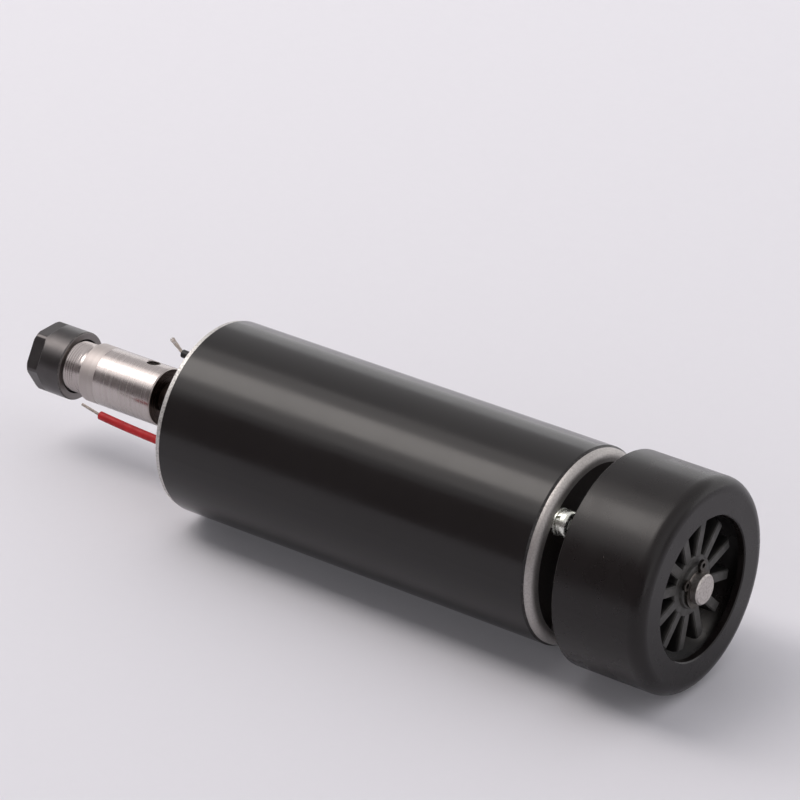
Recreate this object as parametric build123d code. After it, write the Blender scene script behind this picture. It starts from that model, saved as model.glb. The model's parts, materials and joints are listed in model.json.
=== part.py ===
from build123d import *
import os
from math import radians, tan

# Brushed direct-current motor spindle with a collet chuck, in millimetres.
# X runs along the spindle axis towards the collet and Z is up. The origin is on the axis,
# on the front face of the front end cap. Angles turn about X, from +Y towards +Z.

# ---- Driving dimensions ----

# Motor body
body_radius = 26.0
tube_wall = 2.6
tube_length = 114.3
front_rim = 1.4              # flange of the front end cap, ahead of the tube
front_rim_radius = 25.7
rear_cap_depth = 2.3         # how far the rear end cap stands out of the tube
rear_cap_radius = 25.5
spigot_play = 0.05           # end caps inside the tube

# Fan end
air_gap = 7.5                # open ring between the rear end cap and the fan cover
cover_radius = 28.1
cover_length = 25.65
cover_wall = 2.1
inlet_radius = 18.7          # round opening in the back of the cover
shaft_proud = 0.65           # shaft end behind the cover
fan_radius = 17.9
fan_inset = 3.15             # from the back of the cover to the blades
fan_blades = 12
blade_width = 2.6
blade_depth = 7.5
fan_plate = 1.3              # backplate that carries the blades
fan_collar = 0.9             # collar of the fan's hub, behind the blades
fan_neck = 2.0               # front of the hub, ahead of the blades

# Shaft and bearings (8 x 22 x 7 mm deep-groove)
shaft_radius = 4.0
shaft_shoulder = 5.0
groove_radius = 3.7          # groove of the retaining ring
groove_width = 0.9
flat_depth = 0.3             # flats under the set screws
bearing_radius = 11.0
bearing_width = 7.0
ball_radius = 1.985
ball_pitch = 7.5
ball_count = 7
spring_height = 0.8          # dished spring behind the rear bearing
groove_play = 0.06           # race grooves round the balls
outer_land = 8.9             # bore of the outer race
inner_land = 6.15            # outside of the inner race

# Collet chuck
chuck_radius = 8.0
chuck_rear = 16.6            # back of the chuck, ahead of the front face
chuck_shank = 24.3
thread_radius = 6.95
thread_end = 53.4            # front face of the chuck
nut_radius = 9.4
nut_rear = 46.5
nut_length = 11.3
nut_hex = 3.8                # length of the spanner flats
nut_recess = 0.2             # collet behind the nut's nose
spanner_size = 17.0
collet_length = 18.0
tool_radius = 1.5875         # 3.175 mm tool shank
collet_slit = 0.4
slit_count = 6               # slits from each end of the collet
slit_depth = 14.0
taper_mouth = 5.69           # radius of the taper at the front face of the chuck
taper_angle = 8.0            # half angle of the collet taper

# Armature and brushes
slot_count = 12
core_front = -33.0
core_rear = -95.0
core_radius = 17.3
slot_width = 3.8
slot_bottom = 8.6
slot_top = 15.4
magnet_radius = 18.0         # inner face of the field magnets
commutator_front = -14.0
commutator_rear = -24.5
commutator_radius = 9.5
commutator_root = 6.97       # back of the copper segments
plate_thickness = 2.5        # brush holder plate
brush_width = 6.5
brush_top = 17.5
guide_length = 7.2
guide_wall = 0.6
brush_play = 0.15

# Screws: radii of the shanks, and of the holes that they pass through
bolt_shank = 1.95
bolt_hole = 2.2
post_screw = 1.45
post_hole = 1.6
mounting_hole = 1.65
washer_bore = 2.1
washer_thickness = 0.7
lock_thickness = 1.0         # split washers
lead_hole = 2.0
set_screw_radius = 1.95

# Leads
lead_radius = 1.15
strand_radius = 0.4

# Places round the axis
bolt_circle = 19.8
bolt_angles = (45.5, 225.5)
post_circle = 20.7
post_angles = (135.5, 315.5)
lead_circle = 17.5
lead_angles = (-7.0, 173.0)
front_hole_circle = 16.0
front_hole_angles = (20.0, 110.0, 200.0, 290.0)
plate_screw_circle = 18.0
plate_screw_angles = (96.0, 276.0)
set_screw_angles = (103.0, 193.0)
set_screw_x = 22.6

# Clearance between turned faces that touch in one body, and in a running fit
seat_play = 0.02
running_play = 0.05

# ---- Stations along X ----
tube_front = -front_rim
tube_rear = tube_front - tube_length
rear_face = tube_rear - rear_cap_depth
cover_front = rear_face - air_gap
cover_rear = cover_front - cover_length
shaft_rear = cover_rear - shaft_proud
fan_rear = cover_rear + fan_inset
fan_seat = fan_rear - fan_collar
blade_base = fan_rear + blade_depth
cap_inner_front = -5.5
cap_inner_rear = -112.0
front_seat = -2.0            # faces that the bearings stop against
rear_shoulder = -107.0
front_bearing = front_seat - bearing_width / 2
rear_bearing = rear_shoulder - bearing_width / 2
rear_seat = rear_shoulder - bearing_width - spring_height
boss_radius = 14.0
boss_play = 0.5              # how far the bearing bosses reach past the bearings
plate_front = -12.5
plate_rear = plate_front - plate_thickness
chuck_shoulder = chuck_rear + chuck_shank
nut_front = nut_rear + nut_length
bore_radius = body_radius - tube_wall
spigot_radius = bore_radius - spigot_play
shaft_bore = shaft_radius + seat_play
past = 1.0                   # how far a cutter reaches past the face that it opens


# ---- Helpers ----
def turned(outline, rounds=()):
    """Turn an outline of (x, radius) points about the axis; rounds holds (corner, radius)."""
    face = make_face(Polyline(*outline, close=True))
    for corner, radius in rounds:
        face = fillet(face.vertices().sort_by_distance(corner)[0], radius)
    return revolve(face, Axis.X)


def rod(radius, x0, x1):
    return turned([(x0, 0), (x0, radius), (x1, radius), (x1, 0)])


def ring(outer, inner, x0, x1):
    return turned([(x0, inner), (x0, outer), (x1, outer), (x1, inner)])


def sector(outer, inner, x0, x1, start, span):
    """Part of a ring, from the angle start over span degrees."""
    face = make_face(Polyline((x0, inner), (x0, outer), (x1, outer), (x1, inner), close=True))
    return Rot(start, 0, 0) * revolve(face, Axis.X, span)


def around(angle, radius):
    """Place for something that lies parallel to the axis."""
    return Rot(angle, 0, 0) * Pos(0, radius, 0)


def block(x0, x1, r0, r1, width, angle):
    """Box that stands out from the axis at an angle."""
    size_x, size_r = abs(x1 - x0), r1 - r0
    middle = Pos((x0 + x1) / 2, (r0 + r1) / 2, 0)
    return Rot(angle, 0, 0) * middle * Box(size_x, size_r, width)


def spoke(radius, r0, r1, x, angle):
    """Round bar that stands out from the axis at an angle."""
    return Rot(angle, 0, 0) * Pos(x, (r0 + r1) / 2, 0) * Rot(90, 0, 0) * Cylinder(radius, r1 - r0)


def group(solids):
    return Compound(children=list(solids))


# ---- Motor body ----
def stator_tube():
    edge, rear_edge = 0.3, 0.5
    return turned([
        (tube_front, bore_radius), (tube_front, body_radius - edge),
        (tube_front - edge, body_radius), (tube_rear + rear_edge, body_radius),
        (tube_rear, body_radius - rear_edge), (tube_rear, bore_radius),
    ])


def field_magnets():
    """Two ferrite arcs glued inside the tube, either side of the through bolts."""
    span, back = 118.0, bore_radius - seat_play
    return group(
        sector(back, magnet_radius, core_rear, core_front, angle - span / 2, span)
        for angle in post_angles
    )


def front_end_cap():
    lip, edge = 9.0, 0.4
    boss_end = front_seat - bearing_width - boss_play
    cap = turned([
        (0, lip), (0, front_rim_radius - edge), (-edge, front_rim_radius),
        (tube_front, front_rim_radius), (tube_front, spigot_radius),
        (cap_inner_front, spigot_radius), (cap_inner_front, boss_radius), (boss_end, boss_radius),
        (boss_end, bearing_radius), (front_seat, bearing_radius), (front_seat, lip),
    ])
    bolt_boss, screw_boss, thread_play, skin = 3.4, 2.8, 0.05, 2.5
    for angle in bolt_angles:
        cap += around(angle, bolt_circle) * rod(bolt_boss, plate_front, cap_inner_front)
    for angle in plate_screw_angles:
        cap += around(angle, plate_screw_circle) * rod(screw_boss, plate_front, cap_inner_front)
    for angle in bolt_angles:
        cap -= around(angle, bolt_circle) * rod(bolt_shank + thread_play, plate_front - past, -skin)
    screw_hole = rod(post_screw + thread_play, plate_front - past, cap_inner_front)
    for angle in plate_screw_angles:
        cap -= around(angle, plate_screw_circle) * screw_hole
    for angle in lead_angles:
        cap -= around(angle, lead_circle) * rod(lead_hole, cap_inner_front - past, past)
    for angle in front_hole_angles:
        cap -= around(angle, front_hole_circle) * rod(mounting_hole, cap_inner_front - past, past)
    return cap


def rear_end_cap():
    opening, shoulder_round = 8.0, 2.1
    boss_end = rear_shoulder + boss_play
    cap = turned([
        (tube_rear, spigot_radius), (tube_rear, rear_cap_radius), (rear_face, rear_cap_radius),
        (rear_face, opening), (rear_seat, opening), (rear_seat, bearing_radius),
        (boss_end, bearing_radius), (boss_end, boss_radius), (cap_inner_rear, boss_radius),
        (cap_inner_rear, spigot_radius),
    ], rounds=[((rear_face, rear_cap_radius), shoulder_round)])
    for angle in bolt_angles:
        cap -= around(angle, bolt_circle) * rod(bolt_hole, rear_face - past, cap_inner_rear + past)
    for angle in post_angles:
        cap -= around(angle, post_circle) * rod(post_hole, rear_face - past, cap_inner_rear + past)
    return cap


def through_bolts():
    """Two long pan-head bolts that pull the end caps onto the tube."""
    head, head_height, head_round, point, tip = 3.5, 2.6, 1.5, 0.55, -3.5
    neck = rear_face - washer_thickness - lock_thickness
    crown = neck - head_height
    bolt = turned([
        (crown, 0), (crown, head), (neck, head), (neck, bolt_shank), (tip - point, bolt_shank),
        (tip, bolt_shank - point), (tip, 0),
    ], rounds=[((crown, head), head_round)])
    return group(around(angle, bolt_circle) * bolt for angle in bolt_angles)


def plain_washers():
    washer = ring(3.6, washer_bore, rear_face - washer_thickness, rear_face)
    return group(around(angle, bolt_circle) * washer for angle in bolt_angles)


def spring_washers():
    """Split lock washers under the bolt heads."""
    outer, split, split_angle = 3.4, 0.8, 200.0
    x1 = rear_face - washer_thickness
    x0 = x1 - lock_thickness
    washer = ring(outer, washer_bore, x0, x1)
    washer -= block(x0 - past, x1 + past, washer_bore - past, outer + past, split, 0)
    turn = Rot(split_angle, 0, 0)
    return group(around(angle, bolt_circle) * turn * washer for angle in bolt_angles)


# ---- Bearings ----
def bearing_groove(middle):
    return Pos(middle, 0, 0) * Rot(0, 90, 0) * Torus(ball_pitch, ball_radius + groove_play)


def outer_race(middle):
    half = bearing_width / 2
    race = ring(bearing_radius - seat_play, outer_land, middle - half, middle + half)
    return race - bearing_groove(middle)


def inner_race(middle):
    half = bearing_width / 2
    return ring(inner_land, shaft_bore, middle - half, middle + half) - bearing_groove(middle)


def bearing_shields(middle):
    """Pressed steel shields in the outer race, one at each face."""
    outer, inner, thickness, inset = outer_land - 0.05, inner_land + 0.35, 0.25, 0.3
    places = (bearing_width / 2 - inset - thickness, inset - bearing_width / 2)
    return group(ring(outer, inner, middle + x, middle + x + thickness) for x in places)


def bearing_balls(middle):
    return group(
        Rot(360 / ball_count * k, 0, 0) * Pos(middle, ball_pitch, 0) * Sphere(ball_radius)
        for k in range(ball_count)
    )


def bearing_cage(middle):
    """Crown cage: a ring beside the balls, with a finger between each two of them."""
    side, thickness = ball_radius + 0.1, 0.6
    reach, half_height, step, finger_width = 1.0, 0.5, 0.1, 1.5
    outer, inner = ball_pitch + half_height, ball_pitch - half_height
    cage = ring(outer, inner, middle + side, middle + side + thickness)
    pitch = 360 / ball_count
    return cage + [
        block(middle - reach, middle + side, inner + step, outer - step, finger_width, angle)
        for angle in (pitch * (k + 0.5) for k in range(ball_count))
    ]


def bearing_disc_spring():
    """Dished spring that loads the rear bearing."""
    rim, bore, thickness = bearing_radius - 0.2, 8.7, 0.35
    back = rear_shoulder - bearing_width
    return turned([
        (back, rim), (back - thickness, rim), (rear_seat, bore), (rear_seat + thickness, bore),
    ])


# ---- Brush gear ----
def brush_holder_plate():
    rim_play, opening, bolt_play = 0.2, 11.5, 0.35
    plate = ring(bore_radius - rim_play, opening, plate_rear, plate_front)
    bolt_way = rod(bolt_shank + bolt_play, plate_rear - past, plate_front + past)
    for angle in bolt_angles:
        plate -= around(angle, bolt_circle) * bolt_way
    screw_way = rod(post_hole, plate_rear - past, plate_front + past)
    for angle in plate_screw_angles:
        plate -= around(angle, plate_screw_circle) * screw_way
    return plate


def brush_plate_screws():
    head, head_height, tip = 2.75, 1.8, -8.0
    screw = rod(head, plate_rear - head_height, plate_rear) + rod(post_screw, plate_rear, tip)
    return group(around(angle, plate_screw_circle) * screw for angle in plate_screw_angles)


def brush_tubes():
    """Brass guides on the plate that hold the brushes square to the commutator."""
    x0, x1, r0, r1 = plate_rear - guide_length, plate_rear, 10.2, 16.5
    wall, way = guide_wall, brush_width + 2 * brush_play
    return group(
        block(x0, x1, r0, r1, way + 2 * wall, angle)
        - block(x0 + wall, x1 - wall, r0 - past, r1 + past, way, angle)
        for angle in post_angles
    )


def carbon_brushes():
    side = guide_wall + 0.1
    x0, x1, foot = plate_rear - guide_length + side, plate_rear - side, 8.0
    drum = rod(commutator_radius + running_play, x0 - past, x1 + past)
    return group(
        block(x0, x1, foot, brush_top, brush_width, angle) - drum for angle in post_angles
    )


def brush_springs():
    """Leaf springs that press the brushes down."""
    width, thickness, foot, side, arm_start, arm_end = 5.4, 0.4, 11.7, 5.0, -2.0, 5.0
    top, middle = brush_top + thickness, plate_rear - width / 2
    upright = Pos(middle, (foot + top) / 2, side - thickness / 2) * Box(width, top - foot, thickness)
    arm_place = Pos(middle, top - thickness / 2, (arm_start + arm_end) / 2)
    arm = arm_place * Box(width, thickness, arm_end - arm_start)
    return group(Rot(angle, 0, 0) * (upright + arm) for angle in post_angles)


# ---- Rotor ----
def motor_shaft():
    edge, front_end, front_shoulder = 0.4, 34.6, front_seat - bearing_width
    groove_front, groove_rear = fan_seat, fan_seat - groove_width
    shaft = turned([
        (shaft_rear, 0), (shaft_rear, shaft_radius - edge), (shaft_rear + edge, shaft_radius),
        (groove_rear, shaft_radius), (groove_rear, groove_radius), (groove_front, groove_radius),
        (groove_front, shaft_radius), (rear_shoulder, shaft_radius),
        (rear_shoulder, shaft_shoulder), (front_shoulder, shaft_shoulder),
        (front_shoulder, shaft_radius), (front_end - edge, shaft_radius),
        (front_end, shaft_radius - edge), (front_end, 0),
    ])
    half_length, width = 4.0, 10.0
    x0, x1 = set_screw_x - half_length, set_screw_x + half_length
    for angle in set_screw_angles:
        shaft -= block(x0, x1, shaft_radius - flat_depth, shaft_radius + past, width, angle)
    return shaft


def armature_core():
    """Laminated stack with a half-closed slot for each coil side."""
    core = ring(core_radius, shaft_shoulder + seat_play, core_rear, core_front)
    mouth, mouth_width = slot_top - 0.4, 1.8
    x0, x1 = core_rear - past, core_front + past
    for k in range(slot_count):
        angle = 360 / slot_count * k
        core -= block(x0, x1, slot_bottom, slot_top, slot_width, angle)
        core -= block(x0, x1, mouth, core_radius + past, mouth_width, angle)
    return core


def armature_winding():
    """Coil sides in the slots, and the end turns that join them."""
    crown, inner, overhang, gap, slope, liner = 15.6, 6.0, 7.0, 0.2, 3.0, 0.3
    rear_x, front_x = core_rear - gap, core_front + gap
    winding = turned([
        (rear_x - overhang, inner), (rear_x - overhang, crown - slope),
        (rear_x - overhang + slope, crown), (rear_x, crown), (rear_x, inner),
    ])
    winding += turned([
        (front_x + overhang, inner), (front_x + overhang, crown - slope),
        (front_x + overhang - slope, crown), (front_x, crown), (front_x, inner),
    ])
    bottom, top, width = slot_bottom + liner, slot_top - liner, slot_width - 2 * liner
    for k in range(slot_count):
        winding += block(rear_x - past, front_x + past, bottom, top, width, 360 / slot_count * k)
    return winding


def commutator_hub():
    bore = shaft_shoulder + seat_play
    return ring(commutator_root - seat_play, bore, commutator_rear, commutator_front)


def commutator_segments():
    pitch, gap = 360 / slot_count, 3.0
    bar = sector(
        commutator_radius, commutator_root, commutator_rear, commutator_front, gap / 2, pitch - gap)
    return group(Rot(pitch * k, 0, 0) * bar for k in range(slot_count))


# ---- Fan end ----
def fan_spacer():
    radius = 6.0
    return ring(radius, shaft_bore, blade_base + fan_neck, rear_shoulder - bearing_width)


def fan_blade():
    """Straight blade along +Y, wider at its foot, with the outer corner cut back."""
    foot_x, half, foot_half = blade_base + fan_plate / 2, blade_width / 2, blade_width / 2 + 0.2
    tip, bevel_depth, bevel_height, root = fan_radius - 0.4, 1.2, 0.7, 7.4
    section = make_face(Polyline(
        (fan_rear, -half), (foot_x, -foot_half), (foot_x, foot_half), (fan_rear, half), close=True))
    blade = Rot(90, 0, 0) * extrude(section, -fan_radius)
    blade &= turned([
        (fan_rear, root), (fan_rear, tip - bevel_height), (fan_rear + bevel_depth, tip),
        (foot_x, tip), (foot_x, root),
    ])
    return blade


def cooling_fan():
    """Radial fan: straight blades on a backplate, round a flared hub with a collar."""
    collar, waist, flare_end, edge = 5.8, 7.9, 11.0, 0.4
    front, neck = blade_base + fan_plate, 7.0
    fan = turned([
        (fan_seat, shaft_bore), (fan_seat, collar), (fan_rear, collar), (fan_rear, waist),
        (blade_base - 2.5, waist + 0.5), (blade_base - 1.0, waist + 1.3), (blade_base, flare_end),
        (blade_base, fan_radius), (front - edge, fan_radius), (front, fan_radius - edge),
        (front, neck + 0.5), (blade_base + fan_neck, neck), (blade_base + fan_neck, shaft_bore),
    ])
    pitch = 360 / fan_blades
    return fan + [Rot(pitch * (k + 0.5), 0, 0) * fan_blade() for k in range(fan_blades)]


def fan_circlip():
    """External retaining ring with two eyed lugs, in the shaft groove behind the fan."""
    play, thickness, gap_angle, gap_half, lug_half = 0.02, 0.8, 70.0, 33.5, 41.5
    outer, off_centre, lug_radius, lug_circle, eye = 5.1, 0.35, 1.4, 5.6, 0.65
    x1 = fan_seat - play
    x0 = x1 - thickness
    clip = around(gap_angle + 180, off_centre) * rod(outer, x0, x1)
    clip -= sector(2 * outer, 0, x0 - past, x1 + past, gap_angle - gap_half, 2 * gap_half)
    for side in (-lug_half, lug_half):
        clip += around(gap_angle + side, lug_circle) * rod(lug_radius, x0, x1)
    for side in (-lug_half, lug_half):
        clip -= around(gap_angle + side, lug_circle) * rod(eye, x0 - past, x1 + past)
    return clip - rod(groove_radius + seat_play, x0 - past, x1 + past)


def fan_cover():
    """Moulded cup with a round inlet, on two posts that stand on the rear end cap."""
    inner, floor, outer_round, inner_slope, lip = cover_radius - cover_wall, 2.0, 3.6, 1.6, 0.4
    floor_x, inlet_edge = cover_rear + floor, 0.3
    cover = turned([
        (cover_rear, inlet_radius + inlet_edge), (cover_rear, cover_radius),
        (cover_front - lip, cover_radius), (cover_front, cover_radius - lip),
        (cover_front, inner), (floor_x + inner_slope, inner), (floor_x, inner - inner_slope),
        (floor_x, inlet_radius), (cover_rear + inlet_edge, inlet_radius),
    ], rounds=[((cover_rear, cover_radius), outer_round)])
    post, rib, overlap, rib_gap, bore_depth, thread_play = 2.0, 1.4, 0.6, 1.5, 12.0, 0.05
    x0, x1 = cover_rear + floor / 2, cover_front - rib_gap
    for angle in post_angles:
        cover += block(x0, x1, post_circle + post / 2, inner + overlap, rib, angle)
        cover += around(angle, post_circle) * rod(post, x0, rear_face)
    screw_hole = rod(post_screw + thread_play, rear_face - bore_depth, rear_face + past)
    for angle in post_angles:
        cover -= around(angle, post_circle) * screw_hole
    return cover


def fan_cover_screws():
    """Screws driven from inside the rear end cap into the cover's posts."""
    head, head_height, reach = 2.6, 1.8, 9.0
    screw = rod(head, cap_inner_rear, cap_inner_rear + head_height)
    screw += rod(post_screw, rear_face - reach, cap_inner_rear)
    return group(around(angle, post_circle) * screw for angle in post_angles)


# ---- Chuck, collet and nut ----
def taper_bore(x):
    """Radius of the chuck's taper at x."""
    return taper_mouth - (thread_end - x) * tan(radians(taper_angle))


def collet_chuck():
    """Shank with set screws, turned-down neck and threaded nose with the collet's taper."""
    rear_edge, edge, run_out, thread_edge = 0.6, 0.4, 0.4, 0.8
    neck, neck_end, passage, bore_end, socket_end = 6.5, 42.9, 3.0, 36.0, 38.6
    chuck = turned([
        (chuck_rear, shaft_bore), (chuck_rear, chuck_radius - rear_edge),
        (chuck_rear + rear_edge, chuck_radius), (chuck_shoulder - edge, chuck_radius),
        (chuck_shoulder, chuck_radius - edge), (chuck_shoulder, neck), (neck_end - run_out, neck),
        (neck_end, thread_radius), (thread_end - thread_edge, thread_radius),
        (thread_end, thread_radius - thread_edge), (thread_end, taper_bore(thread_end)),
        (socket_end, taper_bore(socket_end)), (socket_end, passage), (bore_end, passage),
        (bore_end, shaft_bore),
    ])
    thread_play = 0.05
    for angle in set_screw_angles:
        hole = spoke(set_screw_radius + thread_play, shaft_radius / 2, chuck_radius + past,
                     set_screw_x, angle)
        chuck -= hole
    return chuck


def chuck_set_screws():
    """Headless hexagon-socket screws that bear on the shaft's flats."""
    foot, top, socket_depth, socket_across = shaft_radius - flat_depth, 6.9, 1.6, 2.0
    hexagon = RegularPolygon(socket_across / 2, 6, major_radius=False)
    socket = Rot(-90, 0, 0) * extrude(hexagon, socket_depth + past)
    screws = []
    for angle in set_screw_angles:
        seat = Rot(angle, 0, 0) * Pos(set_screw_x, top - socket_depth, 0)
        screws.append(spoke(set_screw_radius, foot, top, set_screw_x, angle) - seat * socket)
    return group(screws)


def spring_collet():
    """Slotted collet: nose cone, groove for the nut's lip, and a long taper in the chuck.

    Half of the slits run in from each end, so that the whole sleeve closes on the tool.
    """
    shrink, nose, collar, groove, collar_at, collar_width = 0.04, 4.3, 5.75, 4.9, 2.5, 0.5
    front = nut_front - nut_recess
    rear = front - collet_length
    big, small = taper_bore(thread_end) - shrink, taper_bore(rear) - shrink
    collar_front, collar_rear = front - collar_at, front - collar_at - collar_width
    mouth_edge, rear_edge, tail_bore, tail_depth, slack = 0.3, 0.5, 2.0, 5.0, 0.1
    collet = turned([
        (front, tool_radius + mouth_edge), (front, nose), (collar_front, collar),
        (collar_rear, collar), (collar_rear, groove), (thread_end + slack, groove),
        (thread_end + slack, big), (thread_end, big), (rear + rear_edge, small + 0.07),
        (rear, small - 0.4), (rear, tail_bore), (rear + tail_depth, tail_bore),
        (rear + tail_depth, tool_radius), (front - mouth_edge, tool_radius),
    ])
    pitch, first, inside, outside = 360 / slit_count, 10.0, 0.5, 8.0
    for k in range(slit_count):
        angle = first + pitch * k
        collet -= block(front - slit_depth, front + past, inside, outside, collet_slit, angle)
        angle += pitch / 2
        collet -= block(rear - past, rear + slit_depth, inside, outside, collet_slit, angle)
    return collet


def collet_nut():
    """Clamping nut: round collar, six spanner flats at the nose and a lip for the collet."""
    mouth, relief, lip, cup, opening = 7.5, 7.3, 5.2, 6.2, 4.75
    thread_bore = thread_radius + running_play
    rear_edge, front_edge, nose_round = 0.3, 0.4, 0.9
    cup_start, cup_end, lip_front, lip_rear, relief_end = 2.55, 3.2, 3.4, 4.2, 5.4
    mouth_depth, mouth_slope = 0.8, 0.4
    nut = turned([
        (nut_rear, mouth), (nut_rear, nut_radius - rear_edge), (nut_rear + rear_edge, nut_radius),
        (nut_front - front_edge, nut_radius), (nut_front, nut_radius - nose_round),
        (nut_front, opening), (nut_front - cup_start, cup), (nut_front - cup_end, cup),
        (nut_front - lip_front, lip), (nut_front - lip_rear, lip), (nut_front - lip_rear, relief),
        (nut_front - relief_end, relief), (nut_front - relief_end, thread_bore),
        (nut_rear + mouth_depth + mouth_slope, thread_bore), (nut_rear + mouth_depth, mouth),
    ])
    flats, first, outside, width = 6, 30.0, 12.0, 14.0
    hex_rear = nut_front - nut_hex
    for k in range(flats):
        angle = first + 360 / flats * k
        nut -= block(hex_rear, nut_front + past, spanner_size / 2, outside, width, angle)
    return nut


# ---- Leads ----
# Each route starts at the brush plate, leaves through its hole and ends at the cut insulation
lead_routes = {
    "red_lead": [(plate_front, 17.37, -2.13), (10.0, 17.37, -2.13), (25.7, 16.75, -1.09)],
    "black_lead": [(plate_front, -17.37, 2.13), (10.0, -17.37, 2.13), (26.0, -18.01, 2.65)],
}
lead_tips = {
    "red_lead_tip": ((25.7, 16.75, -1.09), (32.4, 16.14, -0.17)),
    "black_lead_tip": ((26.0, -18.01, 2.65), (31.6, -20.25, 4.41)),
}


def lead(route):
    """Insulated lead: straight runs joined by the widest arcs that fit."""
    share, radii = 0.45, []
    for before, corner, after in zip(route, route[1:], route[2:]):
        run_in, run_out = Vector(corner) - Vector(before), Vector(after) - Vector(corner)
        half_turn = radians(run_in.get_angle(run_out)) / 2
        radii.append(share * min(run_in.length, run_out.length) / tan(half_turn))
    path = FilletPolyline(*route, radius=radii)
    print("lead radii", [round(r) for r in radii], "length", round(path.length, 2))
    return sweep(Plane(path @ 0, z_dir=path % 0) * Circle(lead_radius), path)


def lead_tip(start, end):
    """Tinned strand ends."""
    axis = Vector(end) - Vector(start)
    return extrude(Plane(start, z_dir=axis) * Circle(strand_radius), axis.length)


def lead_grommets():
    """Sleeves that line the lead holes, flanged inside the cap."""
    flange, flange_width, recess, bore = 2.7, 0.7, 0.1, lead_radius + running_play
    grommet = ring(lead_hole - seat_play, bore, cap_inner_front, -recess)
    grommet += ring(flange, bore, cap_inner_front - flange_width, cap_inner_front)
    return group(around(angle, lead_circle) * grommet for angle in lead_angles)


# ---- Write one file per piece ----
pieces = [
    stator_tube, field_magnets, front_end_cap, rear_end_cap, through_bolts, plain_washers,
    spring_washers, bearing_disc_spring, brush_holder_plate, brush_plate_screws, brush_tubes,
    carbon_brushes, brush_springs, motor_shaft, armature_core, armature_winding,
    commutator_hub, commutator_segments, fan_spacer, cooling_fan, fan_circlip, fan_cover,
    fan_cover_screws, collet_chuck, chuck_set_screws, spring_collet, collet_nut, lead_grommets,
]
bearing_pieces = [outer_race, inner_race, bearing_shields, bearing_balls, bearing_cage]

model = {piece.__name__: piece() for piece in pieces}
for place, middle in (("front", front_bearing), ("rear", rear_bearing)):
    for piece in bearing_pieces:
        name = piece.__name__.replace("bearing_", "")
        model[f"{place}_bearing_{name}"] = piece(middle)
for name, route in lead_routes.items():
    model[name] = lead(route)
for name, (start, end) in lead_tips.items():
    model[name] = lead_tip(start, end)

os.makedirs("parts", exist_ok=True)
for name, solid in model.items():
    export_step(solid, f"parts/{name}.step")
print(len(model), "pieces written")
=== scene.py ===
import json
from math import cos, pi, radians, sin, tan

import bmesh
import bpy
from mathutils import Matrix, Vector


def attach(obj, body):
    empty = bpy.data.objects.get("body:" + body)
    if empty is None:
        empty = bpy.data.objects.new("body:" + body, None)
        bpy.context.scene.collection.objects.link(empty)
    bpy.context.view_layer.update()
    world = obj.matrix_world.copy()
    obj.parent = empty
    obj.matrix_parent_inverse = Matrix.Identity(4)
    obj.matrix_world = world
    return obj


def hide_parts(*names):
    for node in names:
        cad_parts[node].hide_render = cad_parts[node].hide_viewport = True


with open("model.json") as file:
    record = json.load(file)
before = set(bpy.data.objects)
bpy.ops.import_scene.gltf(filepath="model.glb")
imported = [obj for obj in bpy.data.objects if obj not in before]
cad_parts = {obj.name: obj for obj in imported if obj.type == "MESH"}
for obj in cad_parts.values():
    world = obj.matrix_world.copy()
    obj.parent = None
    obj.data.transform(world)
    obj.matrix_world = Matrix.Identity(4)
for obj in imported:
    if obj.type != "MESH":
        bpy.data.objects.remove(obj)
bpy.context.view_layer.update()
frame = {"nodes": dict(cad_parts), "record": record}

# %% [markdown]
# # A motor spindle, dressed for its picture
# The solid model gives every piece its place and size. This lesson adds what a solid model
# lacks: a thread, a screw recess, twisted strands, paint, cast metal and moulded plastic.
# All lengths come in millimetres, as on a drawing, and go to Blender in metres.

MM = 0.001
solids = frame["nodes"]

# %% [markdown]
# ## Camera
# A long lens far away keeps the tube's two edges nearly parallel. The camera looks down on the
# fan end from behind, so the fan, the tube's side and the chuck all show.

# %% Place the camera
camera_data = bpy.data.cameras.new("camera")
camera_data.sensor_width = 36.0
camera_data.lens = 194.13
camera_data.clip_end = 20.0
camera = bpy.data.objects.new("camera", camera_data)
bpy.context.scene.collection.objects.link(camera)
turn, height = radians(216.60), radians(27.79)
back = Vector((sin(turn) * cos(height), -cos(turn) * cos(height), sin(height)))
right = Vector((cos(turn), sin(turn), 0))
up = back.cross(right)
camera.matrix_world = Matrix((right, up, back)).transposed().to_4x4()
camera.location = Vector((-631.3, 770.0, 528.6)) * MM
bpy.context.scene.camera = camera
print("camera", [round(v, 3) for v in camera.location])

# %% [markdown]
# ## Leads
# Two short stiff leads come out of the front cap, stripped at their ends. Each is one smooth
# curve through three control points, as thick as the insulation, because a stiff stub keeps
# the gentle bend that it was given.

# %% Draw the insulated leads
lead_radius = 1.15
routes = {
    "red_lead": [(-12.5, 17.37, -2.13), (10.0, 17.37, -2.13), (25.7, 16.75, -1.09)],
    "black_lead": [(-12.5, -17.37, 2.13), (10.0, -17.37, 2.13), (26.0, -18.01, 2.65)],
}
leads = {}
for name, route in routes.items():
    line = bpy.data.curves.new(name + "_line", "CURVE")
    line.dimensions = "3D"
    spline = line.splines.new("NURBS")
    spline.points.add(len(route) - 1)
    for point, place in zip(spline.points, route):
        point.co = (*(MM * v for v in place), 1)
    spline.order_u = 3
    spline.use_endpoint_u = True
    spline.resolution_u = 16
    line.bevel_depth = lead_radius * MM
    line.bevel_resolution = 6
    line.use_fill_caps = True
    leads[name] = bpy.data.objects.new(name + "_insulation", line)
    bpy.context.scene.collection.objects.link(leads[name])
print("leads:", sorted(leads))

# %% [markdown]
# ## Turned shapes
# Most pieces of a spindle are turned on a lathe. A turned piece is an outline of points at a
# station along the axis and a radius, spun about the axis. A little arc at each corner catches
# the light as the broken edge of a real piece does.

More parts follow.
